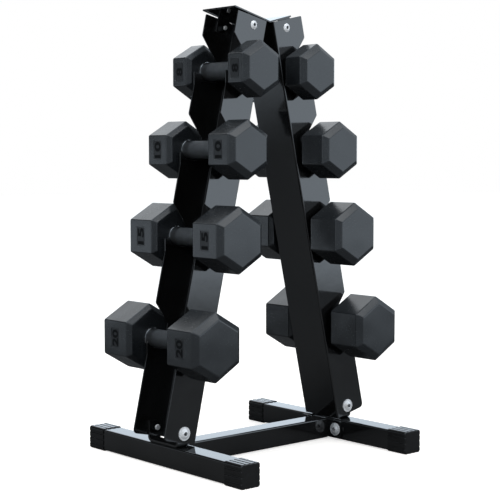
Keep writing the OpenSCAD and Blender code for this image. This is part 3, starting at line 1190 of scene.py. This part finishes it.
@dataclass
class Base:
    """Feet, end caps, cross tube with its end plates, and the brackets under the uprights."""

    plan: RackPlan
    tube_corner: float = 0.003
    tube_corner_steps: int = 8
    plate_corner: float = 0.004
    plate_corner_steps: int = 6
    bracket_thickness: float = 0.004
    bracket_radius: float = 0.008
    bracket_corner_steps: int = 7
    edge: float = 0.0006
    cap_wall: float = 0.0017
    cap_end_round: float = 0.0014
    cap_end_steps: int = 4
    cap_rim: float = 0.0004
    cap_clearance: float = 0.00005
    cap_hollow: float = 0.004
    cap_side_steps: int = 60
    cap_corner_steps: int = 8
    groove_pitch: float = 0.0105
    groove_width: float = 0.0036
    groove_depth: float = 0.001
    groove_margin: float = 0.0003

    @property
    def edges(self) -> Bevel:
        """How the edges of the plates and brackets are rounded."""
        return Bevel(self.edge, segments=2, angle=40.0)

    def tube_outline(self) -> list[Point2]:
        """The outer outline of the square tube, about its middle."""
        half = self.plan.tube / 2.0
        corners = [(-half, -half), (half, -half), (half, half), (-half, half)]
        return rounded_outline([(a, b, self.tube_corner) for a, b in corners], self.tube_corner_steps)

    def build_tubes(self) -> None:
        """Builds both feet and the cross tube."""
        plan = self.plan
        outline = self.tube_outline()
        for side in Side:
            bm = bmesh.new()
            centre = side.value * plan.foot_x
            add_prism(
                bm,
                outline,
                -plan.foot_half,
                plan.foot_half,
                lambda a, b, c, centre=centre: Vector((centre + a, c, plan.foot_mid + b)),
            )
            node = f"{side.word}_foot"
            add_piece(f"{node}_tube", bm, TUBE_PAINT, RACK_BODY, [node])
        bm = bmesh.new()
        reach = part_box("cross_tube")[1][0]
        add_prism(bm, outline, -reach, reach, lambda a, b, c: Vector((c, a, plan.foot_mid + b)))
        add_piece("cross_tube_square", bm, TUBE_PAINT, RACK_BODY, ["cross_tube"])

    def build_end_plates(self) -> None:
        """Builds the plates at the ends of the cross tube."""
        for side in Side:
            node = f"{side.word}_end_plate"
            low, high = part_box(node)
            corners = [(low[1], low[2]), (high[1], low[2]), (high[1], high[2]), (low[1], high[2])]
            rounded = [(a, b, self.plate_corner) for a, b in corners]
            outline = rounded_outline(rounded, self.plate_corner_steps)
            bm = bmesh.new()
            add_prism(bm, outline, low[0], high[0], lambda a, b, c: Vector((c, a, b)))
            add_piece(f"{node}_flat", bm, PAINT, RACK_BODY, [node], self.edges)

    def build_brackets(self) -> None:
        """Builds the U-shaped brackets that stand on the feet."""
        for side in Side:
            node = f"{side.word}_foot_bracket"
            low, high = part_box(node)
            outer = high[1]
            inner = outer - self.bracket_thickness
            floor = low[2]
            radius = self.bracket_radius
            inner_radius = radius - self.bracket_thickness
            outline = rounded_outline(
                [
                    (-outer, high[2], 0.0),
                    (-outer, floor, radius),
                    (outer, floor, radius),
                    (outer, high[2], 0.0),
                    (inner, high[2], 0.0),
                    (inner, floor + self.bracket_thickness, inner_radius),
                    (-inner, floor + self.bracket_thickness, inner_radius),
                    (-inner, high[2], 0.0),
                ],
                self.bracket_corner_steps,
            )
            bm = bmesh.new()
            add_prism(bm, outline, low[0], high[0], lambda a, b, c: Vector((c, a, b)))
            add_piece(f"{node}_folded", bm, PAINT, RACK_BODY, [node], self.edges)

    def cap_outline(self, half: float, depth: float) -> list[Point2]:
        """The outline of a cap with its grooves, about its middle.

        Args:
            half: Half of its width.
            depth: Depth of the grooves.

        Returns:
            The outline's points.
        """
        corner = self.tube_corner + self.cap_wall
        centre = half - corner
        side: list[Point2] = []
        for step in range(self.cap_side_steps + 1):
            across = (2.0 * step / self.cap_side_steps - 1.0) * centre
            sunk = 0.0
            for line in (-1, 0, 1):
                off = abs(across - line * self.groove_pitch) / (self.groove_width / 2.0)
                if off < 1.0:
                    sunk = depth * math.cos(off * math.pi / 2.0)
            side.append((across, half - sunk))
        for step in range(1, self.cap_corner_steps):
            bend = math.pi / 2.0 - math.pi / 2.0 * step / self.cap_corner_steps
            side.append((centre + corner * math.cos(bend), centre + corner * math.sin(bend)))
        points: list[Point2] = []
        for turn in range(4):
            angle = -math.pi / 2.0 * turn
            cos = math.cos(angle)
            sin = math.sin(angle)
            points += [(a * cos - b * sin, a * sin + b * cos) for a, b in side]
        return points

    def build_caps(self) -> None:
        """Builds the four grooved rubber sleeves."""
        for side in Side:
            for end in End:
                node = f"{end.word}_{side.word}_cap"
                low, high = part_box(node)
                self.build_cap(node, Vector(low), Vector(high), end)

    def build_cap(self, node: str, low: Vector, high: Vector, end: End) -> None:
        """Builds one sleeve with its closed end.

        Args:
            node: The node that it stands for.
            low: Lowest corner of that node.
            high: Highest corner of that node.
            end: The end of the foot that it closes.
        """
        centre = (low + high) / 2.0
        half = (high.x - low.x) / 2.0
        closed_y, open_y = (low.y, high.y) if end is End.FRONT else (high.y, low.y)
        inward = -end.value
        rounding = self.cap_end_round
        bm = bmesh.new()

        def ring_at(size: float, y: float, depth: float) -> list[bmesh.types.BMVert]:
            """Adds one ring of the sleeve, with half of its width, its place and its grooves' depth."""
            outline = self.cap_outline(size, depth)
            return add_ring(bm, [Vector((centre.x + a, y, centre.z + b)) for a, b in outline])

        rings = [ring_at(half - rounding - self.groove_depth - self.groove_margin, closed_y, 0.0)]
        for step in range(self.cap_end_steps + 1):
            angle = math.pi / 2.0 * step / self.cap_end_steps
            inset = rounding * (1.0 - math.sin(angle))
            back = rounding * (1.0 - math.cos(angle))
            rings.append(ring_at(half - inset, closed_y + inward * back, self.groove_depth))
        rings.append(ring_at(half, open_y - inward * self.cap_rim, self.groove_depth))
        rings.append(ring_at(half - self.cap_rim, open_y, self.groove_depth))
        sleeve = self.plan.tube / 2.0 + self.cap_clearance
        rings.append(ring_at(sleeve, open_y, 0.0))
        rings.append(ring_at(sleeve, open_y - inward * self.cap_hollow, 0.0))
        bm.faces.new(rings[0])
        for first, second in zip(rings, rings[1:]):
            bridge(bm, first, second)
        add_piece(f"{node}_grooved", bm, CAP, RACK_BODY, [node])

    def build(self) -> None:
        """Builds every piece of the base."""
        self.build_tubes()
        self.build_end_plates()
        self.build_brackets()
        self.build_caps()


# ---------------------------------------------------------------- fasteners


@dataclass(frozen=True)
class Spot:
    """Where a fastener sits: a point under its head and the way that its head faces."""

    point: Vector
    facing: Vector
    turn: float = 0.0

    def placer(self) -> Placer:
        """A placer whose third direction is the way that the head faces."""
        spin = self.facing.to_track_quat("Z", "Y").to_matrix() @ Matrix.Rotation(self.turn, 3, "Z")
        return lambda a, b, c: self.point + spin @ Vector((a, b, c))


@dataclass
class Fasteners:
    """Domed socket bolts, washers and nuts in the frame."""

    plan: RackPlan
    big: float = 0.010
    small: float = 0.008
    washer_diameter: float = 0.024
    washer_thickness: float = 0.002
    cross_reach: float = 0.039
    foot_rise: float = 0.024
    foot_out: float = 0.003
    top_drop: float = 0.015
    top_out: float = 0.0295
    end_plate: float = 0.004
    tube_wall: float = 0.0015
    ear: float = 0.0042
    tab: float = 0.0032
    head_ratio: float = 1.9
    head_rim: float = 0.0006
    dome_ratio: float = 0.42
    dome_steps: int = 8
    socket_ratio: float = 0.7
    socket_depth_ratio: float = 0.3
    socket_chamfer: float = 0.0003
    thread_chamfer: float = 0.0007
    washer_clearance: float = 0.0003
    washer_chamfer: float = 0.0004
    nut_ratio: float = 1.7
    nut_height_ratio: float = 0.8
    nut_chamfer: float = 0.0009
    nut_turn_ratio: float = 2.0
    steps: int = 48
    seed: int = 5

    def bolt(self, bm: bmesh.types.BMesh, diameter: float, length: float, place: Placer) -> None:
        """Adds a bolt with a domed head and a hexagonal socket.

        Args:
            bm: The mesh.
            diameter: Of its thread.
            length: Of its thread under the head.
            place: Carries the bolt, with its head up, to the rack.
        """
        head = diameter * self.head_ratio / 2.0
        dome = diameter * self.dome_ratio
        sphere = (head * head + dome * dome) / (2.0 * dome)
        socket = hexagonal(diameter * self.socket_ratio, diameter)
        mouth = diameter * self.socket_ratio / math.sqrt(3.0) + self.socket_chamfer
        rim = self.head_rim

        def height(radius: float) -> float:
            """Height of the dome at a radius."""
            return dome - sphere + math.sqrt(sphere * sphere - radius * radius)

        profile = [
            (even(diameter / 2.0 - self.thread_chamfer), -length),
            (even(diameter / 2.0), self.thread_chamfer - length),
            (even(diameter / 2.0), 0.0),
            (even(head - rim / 2.0), 0.0),
            (even(head), rim / 2.0),
        ]
        for step in range(1, self.dome_steps + 1):
            radius = head - (head - mouth) * step / self.dome_steps
            profile.append((even(radius), max(height(radius), rim)))
        profile.append((socket, height(mouth) - self.socket_chamfer))
        profile.append((socket, -diameter * self.socket_depth_ratio))
        add_lathe(bm, profile, self.steps, place)

    def washer(self, bm: bmesh.types.BMesh, place: Placer) -> None:
        """Adds a flat washer.

        Args:
            bm: The mesh.
            place: Carries the washer, lying flat, to the rack.
        """
        outer = self.washer_diameter / 2.0
        inner = self.big / 2.0 + self.washer_clearance
        thick = self.washer_thickness
        chamfer = self.washer_chamfer
        profile = [
            (even(inner), 0.0),
            (even(outer), 0.0),
            (even(outer), thick - chamfer),
            (even(outer - chamfer), thick),
            (even(inner), thick),
        ]
        add_lathe(bm, profile, self.steps, place, closed=True)

    def nut(self, bm: bmesh.types.BMesh, diameter: float, place: Placer) -> None:
        """Adds a hexagon nut under its face.

        Args:
            bm: The mesh.
            diameter: Of its thread.
            place: Carries the nut to the rack.
        """
        across = diameter * self.nut_ratio
        height = diameter * self.nut_height_ratio
        corner = across / math.sqrt(3.0)
        chamfer = self.nut_chamfer
        profile = [
            (even(diameter / 2.0), 0.0),
            (hexagonal(across, corner), 0.0),
            (hexagonal(across, corner), chamfer - height),
            (hexagonal(across, corner - chamfer), -height),
            (even(diameter / 2.0 + chamfer), -height),
            (even(diameter / 2.0), chamfer - height),
        ]
        add_lathe(bm, profile, self.steps, place, closed=True)

    def spots(self) -> dict[str, list[Spot]]:
        """Where the fasteners sit, by family, each with its own turn."""
        plan = self.plan
        rng = random.Random(self.seed)
        found: dict[str, list[Spot]] = {"upright": [], "top": [], "cross": []}
        for side in Side:
            for end in End:
                sideways = Vector((0.0, end.value, 0.0))
                out = side.value * (plan.foot_x + self.foot_out)
                low = Vector((out, end.value * plan.upright_half, plan.foot_top + self.foot_rise))
                found["upright"].append(Spot(low, sideways, rng.uniform(0.0, math.tau)))
                top = plan.on_upright(side)(
                    self.top_out, plan.upright_length - self.top_drop, end.value * plan.upright_half
                )
                found["top"].append(Spot(top, sideways, rng.uniform(0.0, math.tau)))
                plate = side.value * (plan.foot_side - self.end_plate)
                cross = Vector((plate, end.value * self.cross_reach, plan.foot_mid))
                inwards = Vector((-side.value, 0.0, 0.0))
                found["cross"].append(Spot(cross, inwards, rng.uniform(0.0, math.tau)))
        return found

    def build(self) -> None:
        """Builds the bolts, the washers and the nuts of each family as one piece each."""
        grips = {
            "upright": self.ear + self.plan.sheet,
            "top": self.tab + self.plan.sheet,
            "cross": self.end_plate + self.tube_wall,
        }
        for family, spots in self.spots().items():
            size = self.small if family == "top" else self.big
            lift = 0.0 if family == "top" else self.washer_thickness
            grip = grips[family]
            bolts = bmesh.new()
            washers = bmesh.new()
            nuts = bmesh.new()
            for spot in spots:
                raised = Spot(spot.point + spot.facing * lift, spot.facing, spot.turn)
                sunk = Spot(spot.point - spot.facing * grip, spot.facing, spot.turn * self.nut_turn_ratio)
                self.bolt(bolts, size, lift + grip + size, raised.placer())
                self.nut(nuts, size, sunk.placer())
                if lift:
                    self.washer(washers, spot.placer())
            add_piece(f"{family}_bolts_domed", bolts, ZINC, RACK_BODY, [f"{family}_bolts"])
            # The nuts take the zinc darkened as painted shade.
            add_piece(f"{family}_nuts_hexagon", nuts, SHADED_NUT_ZINC, RACK_BODY, [f"{family}_nuts"])
            if lift:
                node = f"{family}_washers"
                add_piece(f"{node}_flat", washers, ZINC, RACK_BODY, [node])
            else:
                washers.free()


# ---------------------------------------------------------------- dumbbells


OUTWARD_FLAT = {Side.LEFT: 4, Side.RIGHT: 1}
"""Which of a head's six flats faces away from the rack, counted from 0 at the top corner towards +X."""

MERGE_DISTANCE = 1e-6
"""Points of a number that are closer than this are one point."""


@dataclass
class Dumbbell:
    """A steel handle between two hexagonal rubber heads with a number panel on the outward flat."""

    side: Side
    tier: Tier
    handle_radius: float = 0.016
    handle_steps: int = 64
    collar_width: float = 0.003
    collar_radius: float = 0.018
    collar_edge: float = 0.0006
    inner_bevel: Point2 = (0.008, 0.007)
    outer_bevel: Point2 = (0.0105, 0.009)
    edge: float = 0.0016
    panel_depth: float = 0.0008
    panel_edge: float = 0.0003
    panel_width: float = 0.022
    panel_height: float = 0.034
    plate_rise: float = 0.0003
    plate_margin: float = 0.0011
    plate_corner: float = 0.0022
    plate_corner_steps: int = 5
    digit_length: float = 0.0145
    number_height: float = 0.0165
    number_rise: float = 0.0003
    boldness: float = 0.03
    blank_depth: float = 0.02
    blank_steps: int = 6

    @property
    def body(self) -> str:
        """The body that the dumbbell is."""
        return f"{self.side.word}_{self.tier.word}_dumbbell"

    @property
    def stem(self) -> str:
        """The start of its nodes' names."""
        return f"{self.side.word}_{self.tier.word}"

    def build_handle(self) -> None:
        """Builds the handle, and the collars at both heads as a second piece."""
        node = f"{self.stem}_handle"
        low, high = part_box(node)
        centre = middle_of(node)
        reach = (high[1] - low[1]) / 2.0
        head = -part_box(f"{self.stem}_front_head")[1][1]
        shaft = even(self.handle_radius)
        collar = even(self.collar_radius)
        soft = self.collar_edge
        profile = [
            (shaft, -head),
            (collar, -head),
            (collar, self.collar_width - soft - head),
            (even(self.collar_radius - soft), self.collar_width - head),
            (shaft, self.collar_width - head),
        ]

        def placer(sign: int) -> Placer:
            """A placer whose third direction runs along the handle, backwards for 1 and forwards for -1."""
            return lambda a, b, c: Vector((centre.x + a, sign * c, centre.z + b))

        bm = bmesh.new()
        add_lathe(bm, [(shaft, -reach), (shaft, reach)], self.handle_steps, placer(1))
        add_piece(f"{node}_steel", bm, STEEL, self.body, [node])
        bm = bmesh.new()
        for end in End:
            add_lathe(bm, profile, self.handle_steps, placer(-end.value), closed=True)
        add_piece(f"{node}_collars", bm, COLLAR, self.body)

    def build_head(self, end: End) -> None:
        """Builds a head with rounded edges and a sunk panel.

        Args:
            end: The head's end of the handle.
        """
        node = f"{self.stem}_{end.word}_head"
        low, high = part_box(node)
        centre = middle_of(node)
        half = (high[0] - low[0]) / 2.0
        length = high[1] - low[1]
        inner_y = high[1] if end is End.FRONT else low[1]
        flat_start = self.inner_bevel[1]
        flat_stop = length - self.outer_bevel[1]
        middle_y = inner_y + end.value * (flat_start + flat_stop) / 2.0
        bm = bmesh.new()
        weight = bm.edges.layers.float.new("bevel_weight_edge")
        stations = [
            (half - self.inner_bevel[0], 0.0),
            (half, flat_start),
            (half, flat_stop),
            (half - self.outer_bevel[0], length),
        ]
        angles = [SIXTH_TURN * turn for turn in range(6)]
        rings = []
        for size, along in stations:
            corner = size / math.cos(SIXTH_TURN / 2.0)
            points = [
                Vector(
                    (
                        centre.x + corner * math.sin(angle),
                        inner_y + end.value * along,
                        centre.z + corner * math.cos(angle),
                    )
                )
                for angle in angles
            ]
            rings.append(add_ring(bm, points))
        bm.faces.new(rings[0])
        bm.faces.new(rings[-1])
        _, flats, _ = [bridge(bm, first, second) for first, second in zip(rings, rings[1:])]
        for line in bm.edges:
            line[weight] = 1.0
        self.sink_panel(bm, flats[OUTWARD_FLAT[self.side]], centre, middle_y, weight)
        add_piece(
            f"{self.stem}_{end.word}_head_rubber",
            bm,
            HEAD,
            self.body,
            [node],
            Bevel(self.edge, segments=4, by_weight=True),
        )
        middle = Vector((centre.x + self.side.value * (half - self.panel_depth), middle_y, centre.z))
        self.build_plate(end, middle)
        self.build_number(end, middle + Vector((self.side.value * self.plate_rise, 0.0, 0.0)))

    def sink_panel(
        self,
        bm: bmesh.types.BMesh,
        face: bmesh.types.BMFace,
        centre: Vector,
        middle_y: float,
        weight: bmesh.types.BMLayerItem,
    ) -> None:
        """Cuts the panel into the outward flat.

        Args:
            bm: The head's mesh.
            face: The flat.
            centre: Middle of the head.
            middle_y: Middle of the panel along the handle.
            weight: The layer that holds how far each edge is rounded.
        """
        corners = list(face.verts)
        x = corners[0].co.x
        bm.faces.remove(face)

        def rim(depth: float) -> list[bmesh.types.BMVert]:
            """Adds the panel's four corners, in the order of the flat's corners.

            Args:
                depth: Their depth under the flat.

            Returns:
                The corners.
            """
            made = []
            for corner in corners:
                along = math.copysign(self.panel_width / 2.0, corner.co.y - middle_y)
                rise = math.copysign(self.panel_height / 2.0, corner.co.z - centre.z)
                made.append(bm.verts.new((x - self.side.value * depth, middle_y + along, centre.z + rise)))
            return made

        top = rim(0.0)
        floor = rim(self.panel_depth)
        bridge(bm, corners, top)
        bridge(bm, top, floor)
        bm.faces.new(floor)
        small = self.panel_edge / self.edge
        for ring in (top, floor):
            for first, second in zip(ring, ring[1:] + ring[:1]):
                bm.edges.get((first, second))[weight] = small

    def build_plate(self, end: End, middle: Vector) -> None:
        """Lays the label plate on the floor of the panel.

        Args:
            end: The head's end of the handle.
            middle: Middle of the panel's floor.
        """
        across = self.panel_width / 2.0 - self.plate_margin
        up = self.panel_height / 2.0 - self.plate_margin
        corners = [(-across, -up), (across, -up), (across, up), (-across, up)]
        rounded = [(a, b, self.plate_corner) for a, b in corners]
        outline = rounded_outline(rounded, self.plate_corner_steps)
        outward = self.side.value
        bm = bmesh.new()
        add_prism(bm, outline, 0.0, self.plate_rise, lambda a, b, c: middle + Vector((outward * c, a, b)))
        add_piece(f"{self.stem}_{end.word}_label_plate", bm, LABEL, self.body)

    def build_number(self, end: End, middle: Vector) -> None:
        """Raises the tier's number on the label plate, reading up the head.

        The figures start as a blank of any size, which is then drawn out to the number's own size.

        Args:
            end: The head's end of the handle.
            middle: Middle of the plate's face.
        """
        curve = bpy.data.curves.new("number_shape", "FONT")
        curve.body = self.tier.value
        curve.align_x = "CENTER"
        curve.align_y = "CENTER"
        curve.resolution_u = self.blank_steps
        curve.extrude = self.blank_depth
        curve.offset = self.boldness
        shape = bpy.data.objects.new("number_shape", curve)
        bpy.context.scene.collection.objects.link(shape)
        bpy.context.view_layer.update()
        graph = bpy.context.evaluated_depsgraph_get()
        flat = bpy.data.meshes.new_from_object(shape.evaluated_get(graph))
        bpy.data.objects.remove(shape)
        lows = Vector([min(vert.co[axis] for vert in flat.vertices) for axis in range(3)])
        highs = Vector([max(vert.co[axis] for vert in flat.vertices) for axis in range(3)])
        centre = (lows + highs) / 2.0
        size = highs - lows
        length = self.digit_length * len(self.tier.value)
        outward = Vector((self.side.value, 0.0, 0.0))
        right = Vector((0.0, 0.0, 1.0))
        upward = outward.cross(right)
        bm = bmesh.new()
        bm.from_mesh(flat)
        bpy.data.meshes.remove(flat)
        for vert in bm.verts:
            off = vert.co - centre
            along = off.x / size.x * length
            rise = off.y / size.y * self.number_height
            lift = (vert.co.z - lows.z) / size.z * self.number_rise
            vert.co = middle + right * along + upward * rise + outward * lift
        bmesh.ops.remove_doubles(bm, verts=bm.verts, dist=MERGE_DISTANCE)
        add_piece(f"{self.stem}_{end.word}_number", bm, NUMBER, self.body)

    def dress_cores(self) -> None:
        """Gives the iron cores, which stay inside the heads, their finish."""
        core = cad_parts[f"{self.stem}_cores"]
        core.data.materials.clear()
        core.data.materials.append(IRON.material())

    def build(self) -> None:
        """Builds the whole dumbbell."""
        self.build_handle()
        for end in End:
            self.build_head(end)
        self.dress_cores()


# ---------------------------------------------------------------- studio


@dataclass(frozen=True)
class Lamp:
    """A soft box: its middle, its width and height, its power in watts, and whether gloss shows it."""

    name: str
    place: tuple[float, float, float]
    size: Point2
    power: float
    mirrored: bool = True


LAMPS = (
    Lamp("left_lamp", (-1.8, -0.2, 1.4), (1.0, 1.0), 20.0, mirrored=False),
    Lamp("low_lamp", (0.4, -3.0, 0.8), (0.6, 0.6), 34.0, mirrored=False),
    Lamp("edge_lamp", (-1.3, -0.35, 2.0), (0.35, 0.35), 3.0),
    Lamp("back_lamp", (0.7, 2.0, 2.2), (1.8, 1.8), 7.0),
    Lamp("front_lamp", (0.2, -1.0, 1.9), (0.7, 0.7), 1.8),
    Lamp("rear_strip", (0.35, 0.85, 1.35), (1.2, 0.3), 0.26),
    Lamp("right_lamp", (0.7, 0.0, 0.95), (0.3, 0.3), 0.045),
)


@dataclass(frozen=True)
class Flag:
    """A direction in which the surroundings are darker, or lighter where the share is below 0."""

    towards: tuple[float, float, float]
    share: float


@dataclass
class Studio:
    """Pale floor, soft lights, surroundings and camera."""

    camera_place: tuple[float, float, float] = (-1.59555, -1.80735, 0.53533)
    camera_yaw: float = math.radians(-41.28)
    camera_pitch: float = math.radians(86.01)
    lens: float = 95.82
    sensor: float = 36.0
    sight: float = 60.0
    floor_half: float = 14.0
    floor_matt: float = 0.9
    floor_sheen: float = 0.1
    floor_level: float = 0.86
    floor_warmth: float = 0.08
    floor_dark_share: float = 0.99
    floor_mottle: Grain = Grain(3.0)
    floor_glow: float = 0.62
    floor_dim: float = 0.09
    front_towards: tuple[float, float, float] = (0.5, -0.87, 0.0)
    front_span: Point2 = (1.2, 4.6)
    front_level: float = 0.9
    rear_towards: tuple[float, float, float] = (-0.71, 0.7, 0.0)
    rear_span: Point2 = (1.7, 4.2)
    rear_level: float = 0.8
    sky_level: float = 1.0
    sky_peak: float = 2.0
    sky_warmth: float = -0.12
    dim_level: float = 0.015
    dim_towards: tuple[float, float, float] = (-0.66, 0.75, 0.0)
    dim_span: Point2 = (0.35, 0.8)
    glow_towards: tuple[float, float, float] = (-0.71, 0.7, 0.05)
    glow_span: Point2 = (0.965, 0.995)
    glow_level: float = 0.3
    flag_span: Point2 = (0.75, 0.98)
    flags: tuple[Flag, ...] = (
        Flag((0.97, 0.17, 0.15), 0.72),
        Flag((0.26, 0.69, 0.67), 0.6),
        Flag((0.19, -0.56, 0.81), 0.5),
        Flag((-0.55, -0.78, 0.3), 0.85),
        Flag((-0.95, 0.2, 0.3), 0.6),
        Flag((0.66, 0.75, 0.1), -0.9),
    )
    lamps_aim: tuple[float, float, float] = (0.0, 0.0, 0.4)

    def build_camera(self) -> None:
        """Adds the camera."""
        data = bpy.data.cameras.new("camera")
        data.lens = self.lens
        data.sensor_width = self.sensor
        data.clip_end = self.sight
        camera = bpy.data.objects.new("camera", data)
        camera.location = self.camera_place
        camera.rotation_euler = (self.camera_pitch, 0.0, self.camera_yaw)
        bpy.context.scene.collection.objects.link(camera)
        bpy.context.scene.camera = camera

    def build_floor(self) -> None:
        """Adds the pale floor. It keeps the rack's shadow, and gloss mirrors it dim near the rack."""
        bm = bmesh.new()
        half = self.floor_half
        corners = [(-half, -half), (half, -half), (half, half), (-half, half)]
        bm.faces.new(add_ring(bm, [Vector((x, y, 0.0)) for x, y in corners]))
        mesh = bpy.data.meshes.new("floor")
        bm.to_mesh(mesh)
        bm.free()
        floor = bpy.data.objects.new("floor", mesh)
        bpy.context.scene.collection.objects.link(floor)
        material = bpy.data.materials.new("pale_floor")
        material.use_nodes = True
        shader = Shader(material.node_tree)
        mottle = self.floor_mottle.on(shader)
        pale = grey(self.floor_level, self.floor_warmth)
        duller = grey(self.floor_level * self.floor_dark_share, self.floor_warmth)
        path = shader.node("ShaderNodeLightPath")
        seen = shader.node(
            "ShaderNodeBsdfPrincipled",
            None,
            {
                "Base Color": shader.blend(pale, duller, mottle),
                "Roughness": self.floor_matt,
                "Specular IOR Level": self.floor_sheen,
                "Emission Color": grey(1.0),
                "Emission Strength": self.floor_glow,
            },
        )
        front = shader.along(shader.place(), self.front_towards).fade(*self.front_span)
        rear = shader.along(shader.place(), self.rear_towards).fade(*self.rear_span)
        glow = front * self.front_level + rear * self.rear_level
        mirrored = glow * Signal(shader, path.outputs["Is Glossy Ray"])
        unseen = shader.node(
            "ShaderNodeBsdfPrincipled",
            None,
            {
                "Base Color": grey(self.floor_dim),
                "Roughness": self.floor_matt,
                "Specular IOR Level": self.floor_sheen,
                "Emission Color": shader.blend(grey(0.0), grey(self.sky_level, self.sky_warmth), mirrored),
                "Emission Strength": 1.0,
            },
        )
        mixed = shader.node(
            "ShaderNodeMixShader",
            None,
            {0: path.outputs["Is Camera Ray"], 1: unseen.outputs[0], 2: seen.outputs[0]},
        )
        shader.node("ShaderNodeOutputMaterial", None, {"Surface": mixed.outputs[0]})
        mesh.materials.append(material)

    def build_world(self) -> None:
        """Surrounds the rack with soft light: dim beyond its back left, with flags and one low glow."""
        world = bpy.data.worlds.new("studio")
        bpy.context.scene.world = world
        world.use_nodes = True
        shader = Shader(world.node_tree)
        direction = shader.node("ShaderNodeTexCoord").outputs["Generated"]
        light = 1.0 - shader.along(direction, self.dim_towards).fade(*self.dim_span)
        for flag in self.flags:
            light = light * (1.0 - shader.along(direction, flag.towards).fade(*self.flag_span) * flag.share)
        light = light + shader.along(direction, self.glow_towards).fade(*self.glow_span) * self.glow_level
        peak = grey(self.sky_peak, self.sky_warmth)
        level = shader.blend(grey(self.dim_level), peak, light * (self.sky_level / self.sky_peak))
        around = shader.node("ShaderNodeBackground", None, {"Color": level, "Strength": 1.0})
        white = shader.node("ShaderNodeBackground", None, {"Color": grey(1.0), "Strength": 1.0})
        path = shader.node("ShaderNodeLightPath")
        mixed = shader.node(
            "ShaderNodeMixShader",
            None,
            {0: path.outputs["Is Camera Ray"], 1: around.outputs[0], 2: white.outputs[0]},
        )
        shader.node("ShaderNodeOutputWorld", None, {"Surface": mixed.outputs[0]})

    def build_lamp(self, lamp: Lamp) -> None:
        """Adds a soft box that faces the rack.

        Args:
            lamp: The soft box.
        """
        data = bpy.data.lights.new(lamp.name, "AREA")
        data.shape = "RECTANGLE"
        data.size, data.size_y = lamp.size
        data.energy = lamp.power
        made = bpy.data.objects.new(lamp.name, data)
        made.location = lamp.place
        made.visible_glossy = lamp.mirrored
        view = Vector(self.lamps_aim) - Vector(lamp.place)
        made.rotation_euler = view.to_track_quat("-Z", "Y").to_euler()
        bpy.context.scene.collection.objects.link(made)

    def build(self) -> None:
        """Builds the studio."""
        bpy.context.scene.view_settings.view_transform = "Standard"
        self.build_camera()
        self.build_floor()
        self.build_world()
        for lamp in LAMPS:
            self.build_lamp(lamp)


# ---------------------------------------------------------------- main


def main() -> None:
    """Builds every sub-assembly in order."""
    logging.basicConfig(level=logging.INFO, format="%(message)s")
    plan = RackPlan()
    for side in Side:
        Upright(plan, side).build()
    TopPlate(plan).build()
    Base(plan).build()
    Fasteners(plan).build()
    for side in Side:
        for tier in Tier:
            Dumbbell(side, tier).build()
    Studio().build()


if __name__ == "__main__":
    main()
